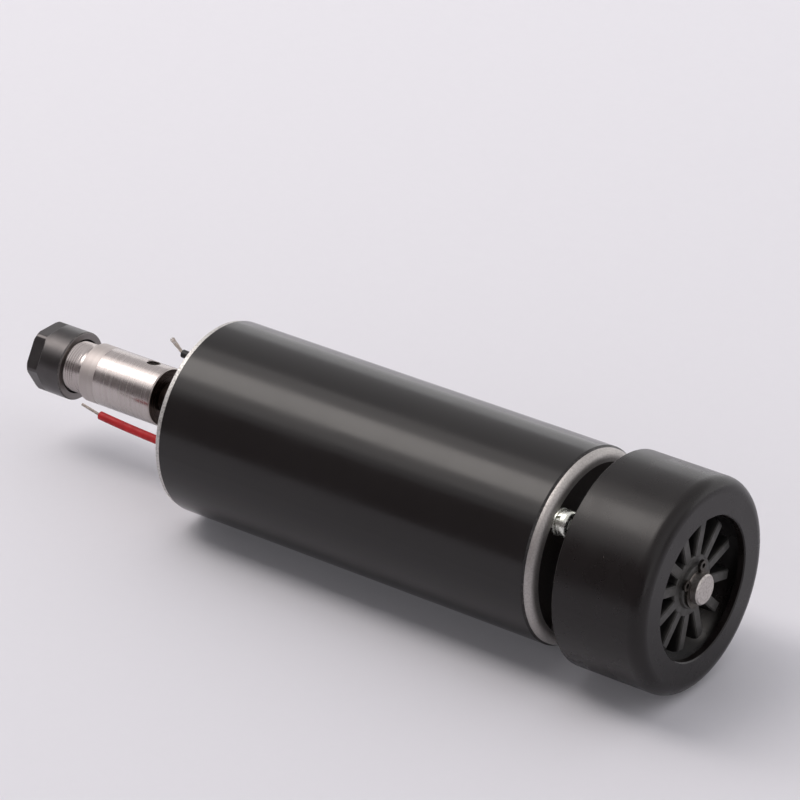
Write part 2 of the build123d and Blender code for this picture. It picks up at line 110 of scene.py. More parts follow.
# %% Helpers for turned shapes
def add_piece(name, mesh):
    """Show a mesh as an object at the origin, smooth except at its sharp edges."""
    piece = bpy.data.objects.new(name, mesh)
    bpy.context.scene.collection.objects.link(piece)
    for face in mesh.polygons:
        face.use_smooth = True
    mesh.set_sharp_from_angle(angle=radians(32))
    return piece


def break_corners(outline, radii, steps=4):
    """Replace each corner that has a radius by an arc."""
    points = []
    for k, corner in enumerate(outline):
        radius = radii.get(k, 0)
        if not radius:
            points.append(corner)
            continue
        here = Vector(corner)
        before = (Vector(outline[k - 1]) - here).normalized()
        after = (Vector(outline[(k + 1) % len(outline)]) - here).normalized()
        half = before.angle(after) / 2
        start, end = here + before * radius / tan(half), here + after * radius / tan(half)
        centre = here + (before + after).normalized() * radius / sin(half)
        sweep = (start - centre).angle_signed(end - centre)
        for step in range(steps + 1):
            arm = (start - centre).copy()
            arm.rotate(Matrix.Rotation(-sweep * step / steps, 2))
            points.append(tuple(centre + arm))
    return points


def spin(outline, radius_at=None, segments=128):
    """Spin a closed outline of (station, radius) about the axis into a closed mesh.
    radius_at(station, radius, angle) may reshape it, as for spanner flats."""
    shape = bmesh.new()
    rings = []
    for station, radius in outline:
        if radius < 1e-6:
            rings.append([shape.verts.new((station * MM, 0, 0))] * segments)
            continue
        ring = []
        for k in range(segments):
            angle = 2 * pi * k / segments
            r = radius_at(station, radius, angle) if radius_at else radius
            ring.append(shape.verts.new((station * MM, r * cos(angle) * MM, r * sin(angle) * MM)))
        rings.append(ring)
    for ring, following in zip(rings, rings[1:] + rings[:1]):
        for k in range(segments):
            corners = [ring[k], ring[(k + 1) % segments],
                       following[(k + 1) % segments], following[k]]
            face = list(dict.fromkeys(corners))
            if len(face) > 2:
                shape.faces.new(face)
    bmesh.ops.recalc_face_normals(shape, faces=shape.faces)
    mesh = bpy.data.meshes.new("turned")
    shape.to_mesh(mesh)
    shape.free()
    return mesh


def cut(piece, *cutters):
    """Cut other meshes out of a piece, then throw them away."""
    for cutter in cutters:
        bite = piece.modifiers.new("cut", "BOOLEAN")
        bite.operation = "DIFFERENCE"
        bite.solver = "EXACT"
        bite.object = cutter
        bpy.context.view_layer.update()
        shown = piece.evaluated_get(bpy.context.evaluated_depsgraph_get())
        mesh = bpy.data.meshes.new_from_object(shown)
        piece.modifiers.remove(bite)
        piece.data = mesh
        bpy.data.objects.remove(cutter)
    mesh.set_sharp_from_angle(angle=radians(32))
    return piece


print("helpers ready")

# %% [markdown]
# ## One tree for everything that repeats round the axis
# Bolts, washers and fan blades stand at even angles round the axis. A Geometry Nodes tree
# puts copies of one mesh there, so that a count or a circle changes in one place. It can add
# a small roll to each copy, because no two screws stop at the same angle.

# %% Build the tree for a ring of copies
def socket(tree, name, kind, way="INPUT", value=None):
    made = tree.interface.new_socket(name=name, in_out=way, socket_type="NodeSocket" + kind)
    if value is not None:
        made.default_value = value
    return made


class Wiring:
    """Short words for adding and joining the nodes of one tree."""

    def __init__(self, tree):
        self.tree = tree

    def add(self, kind, inputs=(), **settings):
        node = self.tree.nodes.new(kind)
        for key, value in settings.items():
            setattr(node, key, value)
        for key, value in dict(inputs).items():
            if isinstance(value, bpy.types.NodeSocket):
                self.tree.links.new(value, node.inputs[key])
            else:
                node.inputs[key].default_value = value
        return node

    def math(self, operation, *values):
        node = self.add("ShaderNodeMath", dict(enumerate(values)), operation=operation)
        return node.outputs[0]


ring_tree = bpy.data.node_groups.new("ring of copies", "GeometryNodeTree")
socket(ring_tree, "Geometry", "Geometry")
socket(ring_tree, "Copy", "Object")
socket(ring_tree, "Count", "Int", value=2)
socket(ring_tree, "Circle", "Float", value=0.0)
socket(ring_tree, "First angle", "Float", value=0.0)
socket(ring_tree, "Roll", "Float", value=0.0)
socket(ring_tree, "Seed", "Int", value=7)
socket(ring_tree, "Finish", "Material")
socket(ring_tree, "Geometry", "Geometry", "OUTPUT")

w = Wiring(ring_tree)
given = w.add("NodeGroupInput").outputs
count = w.add("GeometryNodePoints", {"Count": given["Count"]})
index = w.add("GeometryNodeInputIndex").outputs[0]
step = w.math("DIVIDE", 2 * pi, given["Count"])
angle = w.math("ADD", w.math("MULTIPLY", index, step), given["First angle"])
y = w.math("MULTIPLY", w.math("COSINE", angle), given["Circle"])
z = w.math("MULTIPLY", w.math("SINE", angle), given["Circle"])
place = w.add("ShaderNodeCombineXYZ", {"Y": y, "Z": z}).outputs[0]
points = w.add("GeometryNodeSetPosition", {"Geometry": count.outputs[0], "Position": place})
copy = w.add("GeometryNodeObjectInfo", {"Object": given["Copy"]})
chance = w.add("FunctionNodeRandomValue", {"Seed": given["Seed"]}, data_type="FLOAT")
roll = w.math("MULTIPLY", w.math("SUBTRACT", chance.outputs[1], 0.5), given["Roll"])
turned = w.add("ShaderNodeCombineXYZ", {"X": w.math("ADD", angle, roll)}).outputs[0]
placed = w.add("GeometryNodeInstanceOnPoints", {
    "Points": points.outputs[0], "Instance": copy.outputs["Geometry"], "Rotation": turned})
whole = w.add("GeometryNodeJoinGeometry")
ring_tree.links.new(given["Geometry"], whole.inputs[0])
ring_tree.links.new(placed.outputs[0], whole.inputs[0])
real = w.add("GeometryNodeRealizeInstances", {"Geometry": whole.outputs[0]})
dressed = w.add("GeometryNodeSetMaterial", {
    "Geometry": real.outputs[0], "Material": given["Finish"]})
w.add("NodeGroupOutput", {"Geometry": dressed.outputs[0]})
print("tree:", ring_tree.name, "with", len(ring_tree.nodes), "nodes")

# %% Run a tree and keep the result as a plain mesh
def grow(name, tree, start=None, **sizes):
    """Run a tree on a start mesh with its named sizes, and return the finished piece."""
    piece = bpy.data.objects.new(name, start or bpy.data.meshes.new(name))
    bpy.context.scene.collection.objects.link(piece)
    modifier = piece.modifiers.new("tree", "NODES")
    modifier.node_group = tree
    keys = {s.name.replace(" ", "_"): s.identifier
            for s in tree.interface.items_tree if s.in_out == "INPUT"}
    for size, value in sizes.items():
        modifier[keys[size]] = value
    bpy.context.view_layer.update()
    shown = piece.evaluated_get(bpy.context.evaluated_depsgraph_get())
    mesh = bpy.data.meshes.new_from_object(shown)
    piece.modifiers.remove(modifier)
    piece.data = mesh
    mesh.set_sharp_from_angle(angle=radians(32))
    print(name, len(mesh.polygons), "faces")
    return piece

# %% [markdown]
# ## Surface effects
# Real surfaces differ by what was done to them: a lathe leaves fine rings, a mould or a spray
# leaves grain, handling leaves specks. Two effects only say how far along the axis, or out from
# it, a place is: for a face with its own finish, and for painted shade and painted highlights.
# Each effect is one shader group with its sizes in millimetres, so that every finish can use it
# at its own scale.

# %% Build the shader groups
def effect(name, **sizes):
    """Start a shader group that reads a place on the piece and gives one value."""
    tree = bpy.data.node_groups.new(name, "ShaderNodeTree")
    socket(tree, "Place", "Vector")
    for size, value in sizes.items():
        socket(tree, size, "Float", value=value)
    socket(tree, "Value", "Float", "OUTPUT")
    wiring = Wiring(tree)
    given = wiring.add("NodeGroupInput").outputs
    drawn = wiring.add("ShaderNodeVectorMath", {0: given["Place"]}, operation="SCALE")
    drawn.inputs["Scale"].default_value = 1 / MM
    return wiring, given, drawn.outputs[0]


def give(wiring, value):
    wiring.add("NodeGroupOutput", {"Value": value})
    return wiring.tree


def from_axis(wiring, part):
    """Distance from the X axis."""
    squares = [wiring.math("MULTIPLY", side, side) for side in (part[1], part[2])]
    return wiring.math("SQRT", wiring.math("ADD", *squares))


w, given, drawn = effect("grain", Size=0.5, Detail=3.0)
fineness = w.math("DIVIDE", 1.0, given["Size"])
cloud = w.add("ShaderNodeTexNoise", {"Vector": drawn, "Scale": fineness, "Detail": given["Detail"]})
grain = give(w, cloud.outputs[0])

w, given, drawn = effect("lathe rings", Pitch=0.2, Detail=2.0)
part = w.add("ShaderNodeSeparateXYZ", {0: drawn}).outputs
path = w.math("DIVIDE", w.math("ADD", part[0], from_axis(w, part)), given["Pitch"])
rings = w.add("ShaderNodeTexNoise", {"W": path, "Scale": 1.0, "Detail": given["Detail"]},
              noise_dimensions="1D")
lathe_rings = give(w, rings.outputs[0])

w, given, drawn = effect("specks", Spacing=8.0, Size=0.02, Share=0.3)
cells = w.add("ShaderNodeTexVoronoi", {
    "Vector": drawn, "Scale": w.math("DIVIDE", 1.0, given["Spacing"])})
near = w.math("LESS_THAN", cells.outputs["Distance"], given["Size"])
lot = w.add("ShaderNodeSeparateColor", {0: cells.outputs["Color"]}).outputs[0]
specks = give(w, w.math("MULTIPLY", near, w.math("LESS_THAN", lot, given["Share"])))

w, given, drawn = effect("rubbed edge", Station=0.0, Width=0.3)
along = w.add("ShaderNodeSeparateXYZ", {0: drawn}).outputs[0]
off = w.math("ABSOLUTE", w.math("SUBTRACT", along, given["Station"]))
band = w.add("ShaderNodeMapRange", {
    "Value": w.math("DIVIDE", off, given["Width"]), "To Min": 1.0, "To Max": 0.0})
blots = w.add("ShaderNodeTexNoise", {"Vector": drawn, "Scale": 1.3, "Detail": 4.0})
worn = w.add("ShaderNodeMapRange", {"Value": blots.outputs[0], "From Min": 0.42, "From Max": 0.62})
rubbed_edge = give(w, w.math("MULTIPLY", band.outputs[0], worn.outputs[0]))

w, given, drawn = effect("stretch", Start=0.0, End=1.0)
along = w.add("ShaderNodeSeparateXYZ", {0: drawn}).outputs[0]
share = w.add("ShaderNodeMapRange", {
    "Value": along, "From Min": given["Start"], "From Max": given["End"]})
stretch = give(w, share.outputs[0])

w, given, drawn = effect("outward", Start=0.0, End=1.0)
part = w.add("ShaderNodeSeparateXYZ", {0: drawn}).outputs
share = w.add("ShaderNodeMapRange", {
    "Value": from_axis(w, part), "From Min": given["Start"], "From Max": given["End"]})
outward = give(w, share.outputs[0])
print("effects:", [g.name for g in bpy.data.node_groups if g.type == "SHADER"])

# %% Helper that starts a finish
class Finish(Wiring):
    """One material: a Principled shader, the place on the piece, and short words for effects."""

    def __init__(self, name, colour, metallic=0.0, roughness=0.5):
        self.material = bpy.data.materials.new(name)
        self.material.use_nodes = True
        super().__init__(self.material.node_tree)
        self.shader = self.tree.nodes["Principled BSDF"]
        self.shader.inputs["Base Color"].default_value = (*colour, 1)
        self.shader.inputs["Metallic"].default_value = metallic
        self.shader.inputs["Roughness"].default_value = roughness
        self.colour, self.roughness = colour, roughness
        self.place = self.add("ShaderNodeTexCoord").outputs["Object"]

    def effect(self, group, **sizes):
        node = self.add("ShaderNodeGroup", node_tree=group)
        self.tree.links.new(self.place, node.inputs["Place"])
        for size, value in sizes.items():
            node.inputs[size].default_value = value
        return node.outputs[0]

    def vary_roughness(self, value, low, high):
        """Roughness runs from low to high as the value goes from a third to two thirds."""
        spread = self.add("ShaderNodeMapRange", {
            "Value": value, "From Min": 0.35, "From Max": 0.65, "To Min": low, "To Max": high})
        self.tree.links.new(spread.outputs[0], self.shader.inputs["Roughness"])

    def roughen(self, value, amount):
        """Add an amount to the roughness where the value is one."""
        now = self.shader.inputs["Roughness"]
        more = self.math("MULTIPLY", value, amount)
        self.tree.links.new(self.math("ADD", now.links[0].from_socket, more), now)

    def vary_colour(self, value, other, low=0.35, high=0.65):
        """The colour turns into the other one as the value goes from low to high."""
        spread = self.add("ShaderNodeMapRange", {
            "Value": value, "From Min": low, "From Max": high})
        now = self.shader.inputs["Base Color"]
        mix = self.add("ShaderNodeMix", data_type="RGBA")
        self.tree.links.new(spread.outputs[0], mix.inputs["Factor"])
        if now.is_linked:
            self.tree.links.new(now.links[0].from_socket, mix.inputs[6])
        else:
            mix.inputs[6].default_value = (*self.colour, 1)
        mix.inputs[7].default_value = (*other, 1)
        self.tree.links.new(mix.outputs[2], now)

    def emboss(self, value, height):
        """Relief of a height in millimetres, on top of any relief already there."""
        bump = self.add("ShaderNodeBump", {"Height": value, "Distance": height * MM})
        now = self.shader.inputs["Normal"]
        if now.is_linked:
            self.tree.links.new(now.links[0].from_socket, bump.inputs["Normal"])
        self.tree.links.new(bump.outputs[0], now)


finishes = {}
print("ready for finishes")

# %% [markdown]
# ## Painted tube
# The motor tube is drawn steel under semi-gloss black paint. Paint is never quite level, so it
# gets a faint orange-peel relief, patches that shine a little less, and a few small dents.

# %% Mix the tube's paint
paint = Finish("tube_paint", (0.0085, 0.0068, 0.0066), roughness=0.2)
paint.shader.inputs["Specular IOR Level"].default_value = 0.35
paint.vary_roughness(paint.effect(grain, Size=14.0, Detail=4.0), 0.17, 0.23)
paint.emboss(paint.effect(grain, Size=0.7, Detail=2.0), 0.004)
paint.emboss(paint.effect(specks, Spacing=17.0, Size=0.03, Share=0.35), -0.06)
for tube_end in (-1.6, -115.5):
    worn = paint.effect(rubbed_edge, Station=tube_end, Width=0.3)
    paint.vary_colour(worn, (0.05, 0.046, 0.044), 0.2, 1)
finishes["tube_paint"] = paint.material

# %% [markdown]
# ## Cast and plated metal
# The end caps are sand-grey aluminium castings with a grainy skin. The rear cap is painted darker,
# and its face inside the rim dark brown: painted shade. The bolts and washers are zinc plated,
# which is brighter and slightly green.

# %% Mix the aluminium and the zinc
cast = Finish("cast_aluminium", (0.58, 0.565, 0.55), metallic=1.0, roughness=0.5)
cast.vary_roughness(cast.effect(grain, Size=0.35, Detail=4.0), 0.42, 0.68)
cast.vary_colour(cast.effect(grain, Size=0.5, Detail=5.0), (0.3, 0.29, 0.28), 0.45, 0.75)
# Painted shade: the rear cap's face inside its rim, in the gap under the fan cover, is painted dark
# brown.
painted_shade_cap_face = cast.math("MULTIPLY", cast.effect(outward, Start=22.6, End=22.4),
                      cast.effect(stretch, Start=-60.0, End=-61.0))
# Painted shade: the whole rear cap is painted darker than the front cap.
cast.vary_colour(cast.effect(stretch, Start=-60.0, End=-61.0), (0.4, 0.375, 0.36), 0.0, 1.6)
cast.vary_colour(painted_shade_cap_face, (0.055, 0.045, 0.04), 0.4, 0.6)
cast.emboss(cast.effect(grain, Size=0.45, Detail=4.0), 0.05)
finishes["cast_aluminium"] = cast.material

zinc = Finish("zinc_plate", (0.74, 0.75, 0.7), metallic=1.0, roughness=0.24)
zinc.vary_roughness(zinc.effect(grain, Size=0.6, Detail=3.0), 0.18, 0.34)
zinc.vary_colour(zinc.effect(grain, Size=1.5, Detail=3.0), (0.55, 0.56, 0.48), 0.4, 0.8)
finishes["zinc_steel"] = zinc.material
print("finishes:", sorted(finishes))

# %% [markdown]
# ## Moulded plastic
# The cover and the fan are moulded. The cover's skin is satin with faint flow patches. The fan
# is plainer and a little greyer, with dust on it. Deeper in and towards its blade tips it is
# painted nearly black: painted shade.

# %% Mix the plastics and the rubber
moulded = Finish("cover_plastic", (0.008, 0.006, 0.0058), roughness=0.28)
moulded.shader.inputs["Specular IOR Level"].default_value = 0.3
moulded.vary_roughness(moulded.effect(grain, Size=9.0, Detail=4.0), 0.24, 0.32)
moulded.emboss(moulded.effect(grain, Size=0.35, Detail=2.0), 0.004)
dust = moulded.effect(specks, Spacing=6.0, Size=0.016, Share=0.25)
moulded.vary_colour(dust, (0.12, 0.1, 0.09), 0, 1)
finishes["cover_plastic"] = moulded.material

blade = Finish("fan_plastic", (0.04, 0.038, 0.035), roughness=0.5)
blade.vary_roughness(blade.effect(grain, Size=2.0, Detail=4.0), 0.42, 0.6)
blade.vary_colour(blade.effect(grain, Size=1.2, Detail=5.0), (0.06, 0.058, 0.055), 0.5, 0.8)
# Painted shade: deeper in the fan, ahead of the blades' rear faces, the plastic is painted nearly
# black.
painted_shade_deep_in_fan = blade.effect(stretch, Start=-147.6, End=-146.8)
blade.vary_colour(painted_shade_deep_in_fan, (0.004, 0.0035, 0.0035), 0.0, 1.0)
# Painted shadow: towards the blade tips, in the shadow of the cover's rim, the plastic is painted
# nearly black.
painted_shadow_at_tips = blade.effect(outward, Start=13.0, End=18.5)
blade.vary_colour(painted_shadow_at_tips, (0.006, 0.0055, 0.0055), 0.0, 1.0)
blade.emboss(blade.effect(grain, Size=0.25, Detail=2.0), 0.006)
finishes["fan_plastic"] = blade.material

sleeve = Finish("grommet_rubber", (0.02, 0.02, 0.02), roughness=0.6)
sleeve.vary_roughness(sleeve.effect(grain, Size=0.8), 0.5, 0.7)
finishes["rubber"] = sleeve.material

card = Finish("phenolic_board", (0.16, 0.07, 0.035), roughness=0.5)
card.vary_colour(card.effect(grain, Size=1.0, Detail=5.0), (0.09, 0.04, 0.02))
finishes["phenolic"] = card.material
print("finishes:", len(finishes))

# %% [markdown]
# ## Ground, oxidised and spring steel
# The chuck is ground bright, so it shows very fine rings. Its rear face and the front of the shaft
# are painted dark brown: painted shade. The nut was blackened in hot salts, which leaves a dark
# satin metal, thin and brown at the corners; its rear face is painted lighter: a painted highlight.
# Springs and clips are phosphated and almost black.

# %% Mix the steels
chuck_back, zone_rear, zone_front, nut_back = 16.6, 36.0, 41.0, 46.5
ground = Finish("ground_steel", (0.46, 0.42, 0.405), metallic=1.0, roughness=0.2)
ground.vary_roughness(ground.effect(lathe_rings, Pitch=0.9, Detail=4.0), 0.22, 0.28)
turned = ground.math(
    "MULTIPLY", ground.effect(stretch, Start=zone_rear - 0.05, End=zone_rear + 0.05),
    ground.effect(stretch, Start=zone_front + 0.1, End=zone_front))
ground.roughen(turned, 0.28)
ground.emboss(ground.effect(lathe_rings, Pitch=0.12), 0.0008)
bands = ground.effect(lathe_rings, Pitch=1.6, Detail=5.0)
ground.vary_colour(bands, (0.42, 0.38, 0.365), 0.4, 0.75)
# Painted shade: the chuck's rear face, facing the motor across a narrow gap, is painted dark brown.
painted_shade_and_highlight_face = ground.effect(stretch, Start=chuck_back + 0.15, End=chuck_back)
ground.vary_colour(painted_shade_and_highlight_face, (0.045, 0.032, 0.028), 0.4, 0.6)
finishes["chuck_steel"] = ground.material

shaft = Finish("shaft_steel", (0.5, 0.47, 0.45), metallic=1.0, roughness=0.4)
shaft.vary_roughness(shaft.effect(grain, Size=0.5, Detail=4.0), 0.32, 0.5)
shaft.vary_colour(shaft.effect(grain, Size=0.6, Detail=5.0), (0.3, 0.27, 0.25), 0.45, 0.75)
shaft.emboss(shaft.effect(lathe_rings, Pitch=0.25), 0.003)
# Painted shade: from just in front of the rear cap forward, where it runs in the tube and the gap
# before the chuck, the shaft is painted dark brown.
shaft.vary_colour(shaft.effect(stretch, Start=-110.0, End=-100.0), (0.06, 0.045, 0.04), 0.4, 0.6)
finishes["shaft_steel"] = shaft.material

oxide = Finish("black_oxide", (0.085, 0.08, 0.08), metallic=1.0, roughness=0.34)
oxide.vary_roughness(oxide.effect(grain, Size=1.6, Detail=4.0), 0.32, 0.37)
oxide.vary_colour(oxide.effect(grain, Size=2.2, Detail=5.0), (0.078, 0.073, 0.073))
# Painted highlight: the nut's rear face is painted lighter, for the bright rim there.
painted_shade_and_highlight_face = oxide.effect(stretch, Start=nut_back + 0.12, End=nut_back + 0.02)
oxide.vary_colour(painted_shade_and_highlight_face, (0.2, 0.185, 0.18), 0.3, 0.9)
back_edge = oxide.effect(rubbed_edge, Station=nut_back + 0.25, Width=0.25)
oxide.vary_colour(back_edge, (0.15, 0.14, 0.13), 0.0, 1)
oxide.emboss(oxide.effect(lathe_rings, Pitch=0.2), 0.0015)
finishes["nut_steel"] = oxide.material

springy = Finish("phosphated_steel", (0.1, 0.09, 0.08), metallic=1.0, roughness=0.42)
springy.vary_roughness(springy.effect(grain, Size=0.4), 0.35, 0.52)
springy.vary_colour(springy.effect(grain, Size=0.6, Detail=4.0), (0.05, 0.045, 0.04))
finishes["spring_steel"] = springy.material

gripping = Finish("collet_steel", (0.5, 0.49, 0.48), metallic=1.0, roughness=0.3)
gripping.emboss(gripping.effect(lathe_rings, Pitch=0.15), 0.0015)
gripping.vary_roughness(gripping.effect(grain, Size=0.8), 0.24, 0.38)
finishes["collet_steel"] = gripping.material

polished = Finish("bearing_steel", (0.62, 0.62, 0.62), metallic=1.0, roughness=0.14)
polished.vary_roughness(polished.effect(grain, Size=0.9), 0.1, 0.2)
finishes["bearing_steel"] = polished.material
print("finishes:", len(finishes))

# %% [markdown]
# ## What is inside, and the leads
# Magnets, laminations, copper, brass and carbon hide in the tube, but each still gets its own
# finish. The leads have soft coloured insulation, and their strands are tinned.

# %% Mix the inner finishes and the leads'
plain_finishes = [
    ("ferrite", (0.05, 0.05, 0.052), 0.0, 0.6, 0.7),
    ("lamination_steel", (0.2, 0.2, 0.21), 1.0, 0.45, 0.5),
    ("copper", (0.72, 0.28, 0.12), 1.0, 0.3, 0.6),
    ("brass", (0.72, 0.5, 0.2), 1.0, 0.3, 0.8),
    ("carbon", (0.04, 0.04, 0.04), 0.0, 0.55, 0.4),
    ("red_insulation", (0.4, 0.006, 0.009), 0.0, 0.5, 1.5),
    ("black_insulation", (0.012, 0.012, 0.013), 0.0, 0.4, 1.5),
    ("tinned_copper", (0.36, 0.32, 0.29), 1.0, 0.4, 0.4),
]
for name, colour, metallic, roughness, size in plain_finishes:
    made = Finish(name, colour, metallic, roughness)
    cloudy = made.effect(grain, Size=size, Detail=4.0)
    made.vary_roughness(cloudy, roughness - 0.07, roughness + 0.1)
    made.vary_colour(made.effect(grain, Size=2 * size), tuple(0.75 * c for c in colour))
    if "insulation" in name:
        made.shader.inputs["Specular IOR Level"].default_value = 0.3
    finishes[name] = made.material
print("finishes:", len(finishes))

# %% Give every solid the finish of its slot
slots = {part["node"]: part["material_slot"] for part in frame["record"]["subparts"]}
for node, solid in solids.items():
    solid.data.materials.clear()
    solid.data.materials.append(finishes[slots[node]])
print("dressed", len(solids), "solids")


def wear(piece, slot_name, body, *nodes):
    """Give a piece its finish, its body and the solids that it stands for."""
    if not piece.data.materials:
        piece.data.materials.append(finishes[slot_name])
    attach(piece, body)
    if nodes:
        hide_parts(*nodes)
    return piece

# %% [markdown]
# ## Stripped ends
# Each bare end is seven tinned wires with a light twist. A tree turns one spiral into a ring
# of spirals round a straight middle wire and gives each its thickness.

# %% Build the tree of twisted strands
strand_tree = bpy.data.node_groups.new("twisted strands", "GeometryNodeTree")
for name, value in (("Length", 6.5), ("Twist", 0.8), ("Bundle", 0.26), ("Splay", 0.26),
                    ("Wire", 0.13)):
    socket(strand_tree, name, "Float", value=value)
socket(strand_tree, "Wires", "Int", value=6)
socket(strand_tree, "Finish", "Material")
socket(strand_tree, "Geometry", "Geometry", "OUTPUT")
w = Wiring(strand_tree)
given = w.add("NodeGroupInput").outputs
spiral = w.add("GeometryNodeCurveSpiral", {
    "Resolution": 24, "Rotations": given["Twist"], "Start Radius": given["Bundle"],
    "End Radius": given["Splay"], "Height": given["Length"]})
spots = w.add("GeometryNodePoints", {"Count": given["Wires"]})
index = w.add("GeometryNodeInputIndex").outputs[0]
angle = w.math("MULTIPLY", index, w.math("DIVIDE", 2 * pi, given["Wires"]))
spread = w.add("GeometryNodeInstanceOnPoints", {
    "Points": spots.outputs[0], "Instance": spiral.outputs[0],
    "Rotation": w.add("ShaderNodeCombineXYZ", {"Z": angle}).outputs[0]})
tall = w.add("ShaderNodeCombineXYZ", {"Z": given["Length"]}).outputs[0]
middle = w.add("GeometryNodeCurvePrimitiveLine", {"End": tall})
lines = w.add("GeometryNodeJoinGeometry")
strand_tree.links.new(spread.outputs[0], lines.inputs[0])
strand_tree.links.new(middle.outputs[0], lines.inputs[0])
loose = w.add("GeometryNodeRealizeInstances", {"Geometry": lines.outputs[0]})
round_wire = w.add("GeometryNodeCurvePrimitiveCircle", {"Resolution": 10, "Radius": given["Wire"]})
wires = w.add("GeometryNodeCurveToMesh", {
    "Curve": loose.outputs[0], "Profile Curve": round_wire.outputs[0], "Fill Caps": True})
dressed = w.add("GeometryNodeSetMaterial", {
    "Geometry": wires.outputs[0], "Material": given["Finish"]})
w.add("NodeGroupOutput", {"Geometry": dressed.outputs[0]})
print("tree:", strand_tree.name)

# %% Dress the leads and lay the strands at their ends
tip_ends = {"red_lead": (32.4, 16.14, -0.17), "black_lead": (31.6, -20.25, 4.41)}
for name, route in routes.items():
    start, end = Vector(route[-1]) * MM, Vector(tip_ends[name]) * MM
    loose = name == "black_lead"
    tip = grow(name + "_strands", strand_tree, Length=(end - start).length, Bundle=0.26 * MM,
               Splay=(0.55 if loose else 0.26) * MM, Twist=0.45 if loose else 1.1,
               Wire=0.13 * MM, Wires=6, Finish=finishes["tinned_copper"])
    aim = (end - start).to_track_quat("Z", "Y").to_matrix().to_4x4()
    tip.data.transform(Matrix.Translation(start) @ aim)
    wear(tip, "tinned_copper", "stator", name + "_tip")
    insulation = "red_insulation" if name == "red_lead" else "black_insulation"
    wear(leads[name], insulation, "stator", name)

# %% [markdown]
# ## Chuck with its thread
# The chuck is turned and ground, drilled for two set screws and threaded for the nut. The
# thread is a real helix: a triangle swept along a spiral round a slightly thinner core.

# %% Build the thread tree
thread_tree = bpy.data.node_groups.new("thread", "GeometryNodeTree")
socket(thread_tree, "Geometry", "Geometry")
for name, value in (("Start", 0.0), ("Length", 1.0), ("Radius", 1.0), ("Pitch", 0.1),
                    ("Depth", 0.1)):
    socket(thread_tree, name, "Float", value=value)
socket(thread_tree, "Finish", "Material")
socket(thread_tree, "Geometry", "Geometry", "OUTPUT")
w = Wiring(thread_tree)
given = w.add("NodeGroupInput").outputs
turns = w.math("DIVIDE", given["Length"], given["Pitch"])
helix = w.add("GeometryNodeCurveSpiral", {
    "Resolution": 96, "Rotations": turns, "Start Radius": given["Radius"],
    "End Radius": given["Radius"], "Height": given["Length"]})
upright = w.add("GeometryNodeSetCurveNormal", {"Curve": helix.outputs[0]}, mode="Z_UP")
ridge = w.add("GeometryNodeCurvePrimitiveCircle", {
    "Resolution": 4, "Radius": given["Depth"]})
swept = w.add("GeometryNodeCurveToMesh", {
    "Curve": upright.outputs[0], "Profile Curve": ridge.outputs[0], "Fill Caps": True})
aimed = w.add("GeometryNodeTransform", {
    "Geometry": swept.outputs[0], "Rotation": (0, pi / 2, 0),
    "Translation": w.add("ShaderNodeCombineXYZ", {"X": given["Start"]}).outputs[0]})
whole = w.add("GeometryNodeJoinGeometry")
thread_tree.links.new(given["Geometry"], whole.inputs[0])
thread_tree.links.new(aimed.outputs[0], whole.inputs[0])
real = w.add("GeometryNodeRealizeInstances", {"Geometry": whole.outputs[0]})
dressed = w.add("GeometryNodeSetMaterial", {
    "Geometry": real.outputs[0], "Material": given["Finish"]})
w.add("NodeGroupOutput", {"Geometry": dressed.outputs[0]})
print("tree:", thread_tree.name)

# %% Turn, drill and thread the chuck
core = 6.55
chuck_outline = break_corners([
    (16.6, 4.02), (16.6, 8.0), (40.9, 8.0), (40.9, 6.2), (42.9, 6.2), (43.3, core),
    (53.0, core), (53.4, 6.15), (53.4, 5.69), (38.6, 3.61), (38.6, 3.0), (36.0, 3.0),
    (36.0, 4.02),
], {1: 0.6, 2: 0.35, 3: 0.25})
chuck = add_piece("chuck", spin(chuck_outline, segments=160))
drills = []
for angle in (103.0, 193.0):
    for radius1, radius2, depth, middle in ((1.85, 1.85, 8.0, 5.8), (1.3, 3.3, 1.6, 8.1)):
        drill = bmesh.new()
        bmesh.ops.create_cone(drill, segments=40, radius1=radius1 * MM, radius2=radius2 * MM,
                              depth=depth * MM, cap_ends=True)
        drill.transform(Matrix.Rotation(radians(angle), 4, "X")
                        @ Matrix.Translation((22.6 * MM, middle * MM, 0))
                        @ Matrix.Rotation(-pi / 2, 4, "X"))
        cutter = bpy.data.meshes.new("drill")
        drill.to_mesh(cutter)
        drills.append(bpy.data.objects.new("drill", cutter))
        bpy.context.scene.collection.objects.link(drills[-1])
cut(chuck, *drills)
print("chuck:", len(chuck.data.polygons), "faces")
body = chuck.data
bpy.data.objects.remove(chuck)
chuck = grow("threaded_chuck", thread_tree, body, Start=43.3 * MM, Length=9.4 * MM,
             Radius=core * MM, Pitch=0.75 * MM, Depth=0.38 * MM, Finish=finishes["chuck_steel"])
wear(chuck, "chuck_steel", "rotor", "collet_chuck")

# %% [markdown]
# ## Clamping nut
# The nut is round, with six spanner flats milled at its nose and a turned cone over their
# corners. Its skin is the smallest of three shapes at every place, a cylinder, a flat and a
# cone, blended a little where they meet, which gives the curved edges of a real nut.

# %% Shape the nut
nut_rear, nut_front, nut_radius, across_flats, hex_length = 46.5, 57.8, 9.4, 16.7, 3.6


def blend_smallest(values, softness):
    """The smallest value, rounded off where two are nearly equal."""
    smallest = values[0]
    for value in values[1:]:
        share = max(0.0, min(1.0, 0.5 + (value - smallest) / (2 * softness)))
        smallest = value + (smallest - value) * share - softness * share * (1 - share)
    return smallest


def nut_skin(station, radius, angle):
    if radius < 8.15:
        return radius
    nearest = (angle - radians(30)) % radians(60)
    nearest = min(nearest, radians(60) - nearest)
    milled = max(0.0, nut_front - hex_length - station)
    flat = across_flats / 2 / cos(nearest) + 1.1 * milled
    cone = 8.95 + 1.3 * (nut_front - station)
    rear_cone = 9.05 + 1.2 * (station - nut_rear)
    return min(radius, blend_smallest([nut_radius, flat, cone, rear_cone], 0.06))


